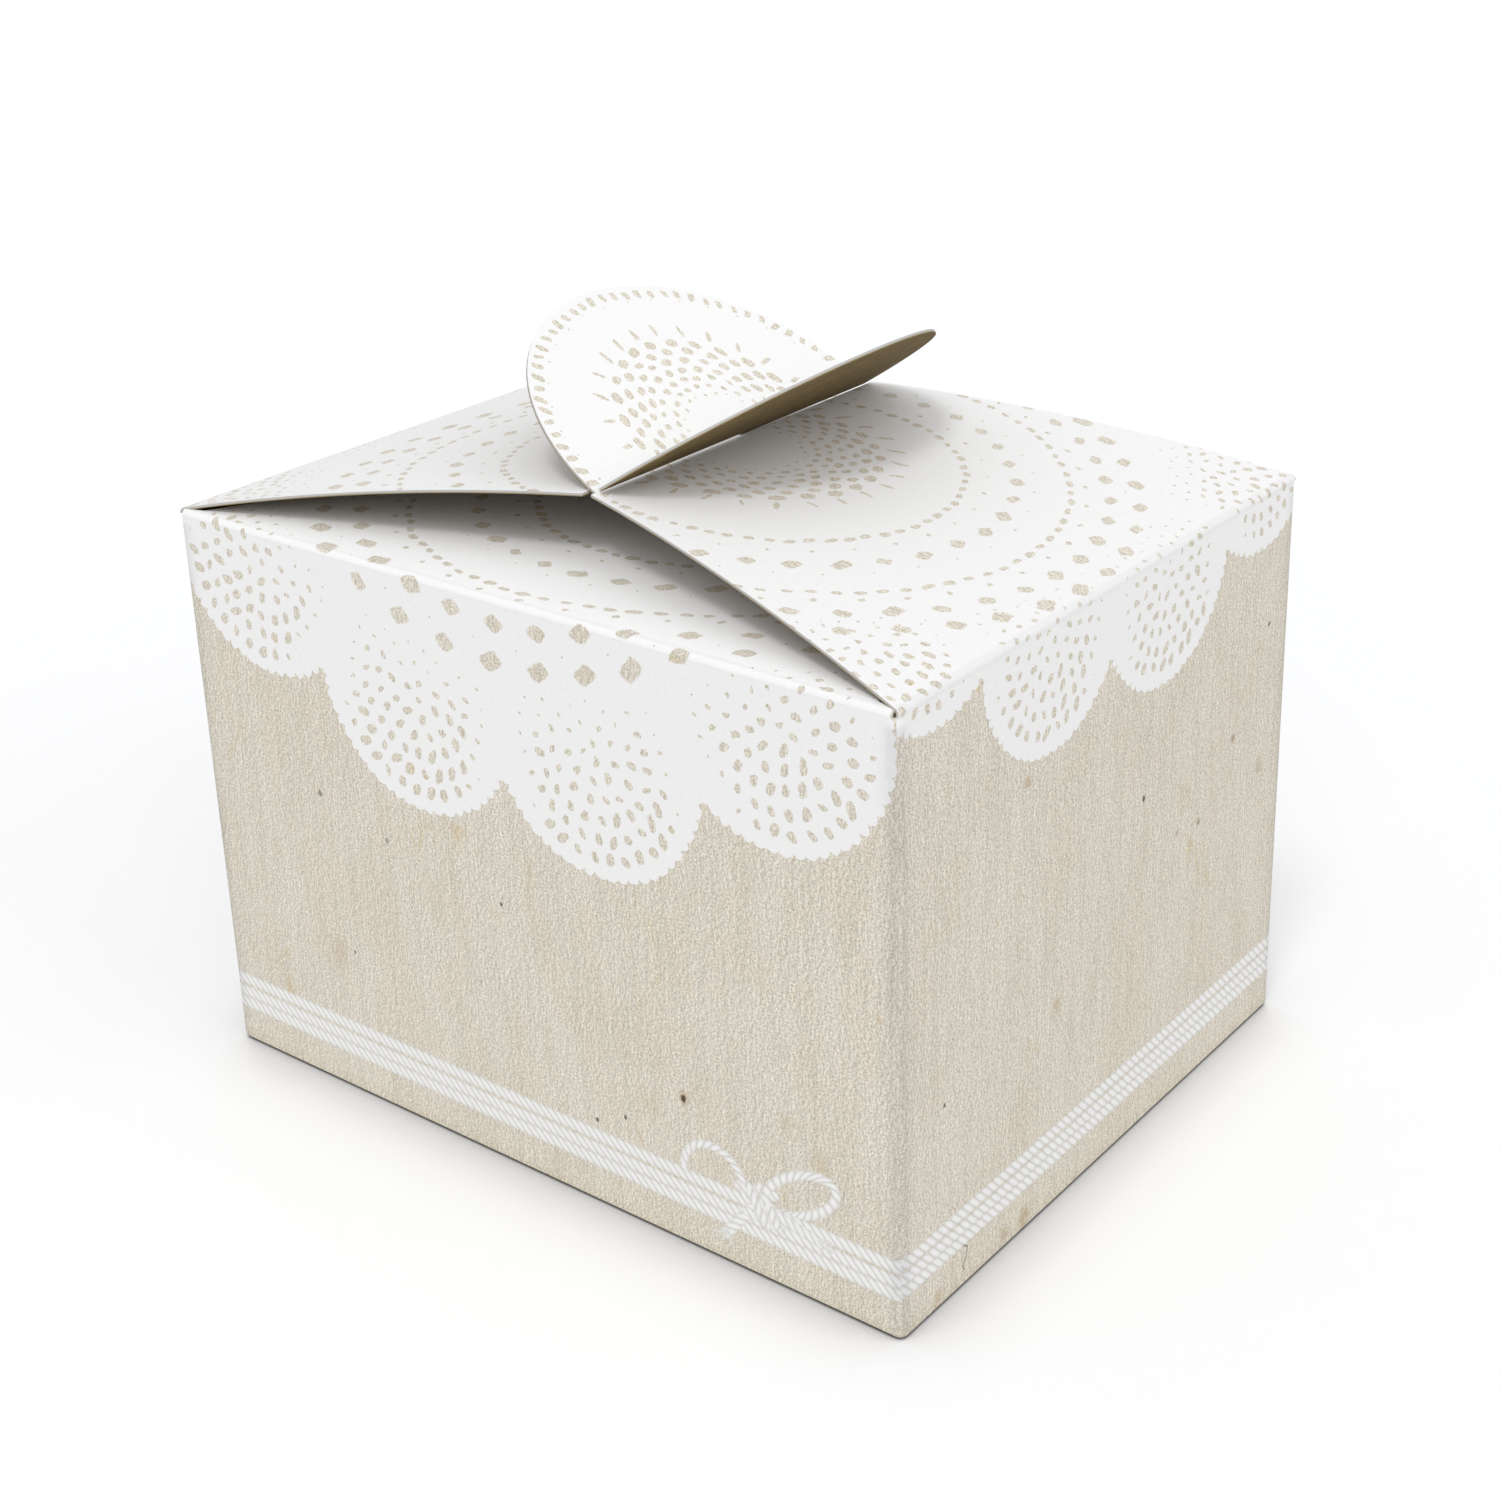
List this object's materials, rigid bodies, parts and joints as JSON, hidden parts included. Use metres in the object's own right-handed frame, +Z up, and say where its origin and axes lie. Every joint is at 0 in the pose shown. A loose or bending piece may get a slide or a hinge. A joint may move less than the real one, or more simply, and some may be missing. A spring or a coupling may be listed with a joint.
{
  "type": "wedding favour carton",
  "caption": "Small folding carton with four printed walls, two tucked flaps and two arched closure panels whose half-round tabs lock over the middle.",
  "frame": {"origin": "middle of the footprint, on the surface that the box stands on", "axes": "+X along the long side towards the right closure panel's crease, +Y from the front wall to the back wall, +Z up"},
  "size_m": [0.14, 0.1118, 0.1264],
  "materials": {
    "printed_board": "uncoated, printed with a pale speckled paper tone",
    "lace_board": "uncoated, printed white with a lace pattern",
    "plain_board": "uncoated brown inside face"
  },
  "bodies": {
    "carton": {"wall_front": "printed_board", "wall_right": "printed_board", "wall_back": "printed_board", "wall_left": "printed_board", "glue_flap": "plain_board", "base_front": "printed_board", "base_tongue": "plain_board", "base_left": "printed_board", "base_right": "printed_board", "base_back": "plain_board"},
    "right_panel": {"panel_right": "lace_board"},
    "right_tab": {"tab_right": "lace_board"},
    "left_panel": {"panel_left": "lace_board"},
    "left_tab": {"tab_left": "lace_board"},
    "front_flap": {"flap_front": "lace_board"},
    "back_flap": {"flap_back": "lace_board"}
  },
  "joints": [
    {"name": "right_panel_fold", "type": "hinge", "parent": "carton", "child": "right_panel", "pos_m": [0.07, 0, 0.0973], "axis": [0, 1, 0], "range_deg": [0, 150], "deforming": ["tab_right", "tab_left"]},
    {"name": "left_panel_fold", "type": "hinge", "parent": "carton", "child": "left_panel", "pos_m": [-0.07, 0, 0.0973], "axis": [0, -1, 0], "range_deg": [0, 150]},
    {"name": "front_flap_fold", "type": "hinge", "parent": "carton", "child": "front_flap", "pos_m": [0, -0.0559, 0.0973], "axis": [1, 0, 0], "range_deg": [0, 90]},
    {"name": "back_flap_fold", "type": "hinge", "parent": "carton", "child": "back_flap", "pos_m": [0, 0.0559, 0.0973], "axis": [-1, 0, 0], "range_deg": [0, 90]},
    {"name": "right_tab_crease", "type": "hinge", "parent": "right_panel", "child": "right_tab", "pos_m": [0, 0, 0.10689], "axis": [0, 1, 0], "range_deg": [0, 45]},
    {"name": "left_tab_crease", "type": "hinge", "parent": "left_panel", "child": "left_tab", "pos_m": [0, 0, 0.10689], "axis": [0, -1, 0], "range_deg": [0, 45]}
  ],
  "couplings": [
    {"joint": "left_panel_fold", "follows": "right_panel_fold", "ratio": 1},
    {"joint": "front_flap_fold", "follows": "right_panel_fold", "ratio": 0.6},
    {"joint": "back_flap_fold", "follows": "right_panel_fold", "ratio": 0.6}
  ]
}
